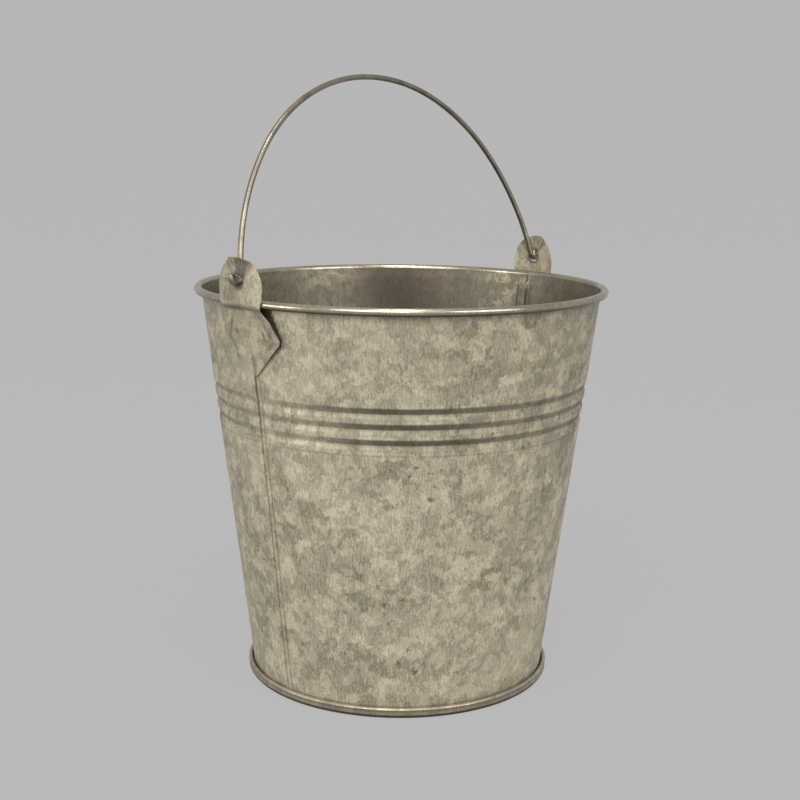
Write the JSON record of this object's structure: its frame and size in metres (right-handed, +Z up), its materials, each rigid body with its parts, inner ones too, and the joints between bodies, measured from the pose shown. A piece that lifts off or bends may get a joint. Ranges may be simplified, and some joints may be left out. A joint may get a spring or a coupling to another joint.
{
  "type": "florist bucket",
  "caption": "Small tapered galvanised sheet bucket with a rolled rim, ring grooves, side lock seams, pointed ears and a swinging wire bail.",
  "frame": {"origin": "centre of the underside, on the surface that the bucket stands on", "axes": "+Z up; +X towards the right ear, along the bail's pivot axis; -Y towards the front"},
  "size_m": [0.1686, 0.16, 0.2339],
  "materials": {
    "wall_sheet": "galvanised, spangled, weathered matt",
    "base_sheet": "galvanised, spangled, weathered matt",
    "ear_sheet": "galvanised, spangled, weathered matt",
    "bail_wire": "galvanised drawn wire, satin"
  },
  "bodies": {
    "bucket": {"front_wall": "wall_sheet", "back_wall": "wall_sheet", "base": "base_sheet", "left_ear": "ear_sheet", "right_ear": "ear_sheet"},
    "bail": {"handle": "bail_wire"}
  },
  "joints": [
    {"name": "bail_swing", "type": "hinge", "parent": "bucket", "child": "bail", "pos_m": [0, 0, 0.1598], "axis": [1, 0, 0], "range_deg": [-85.7, 113.1]}
  ]
}
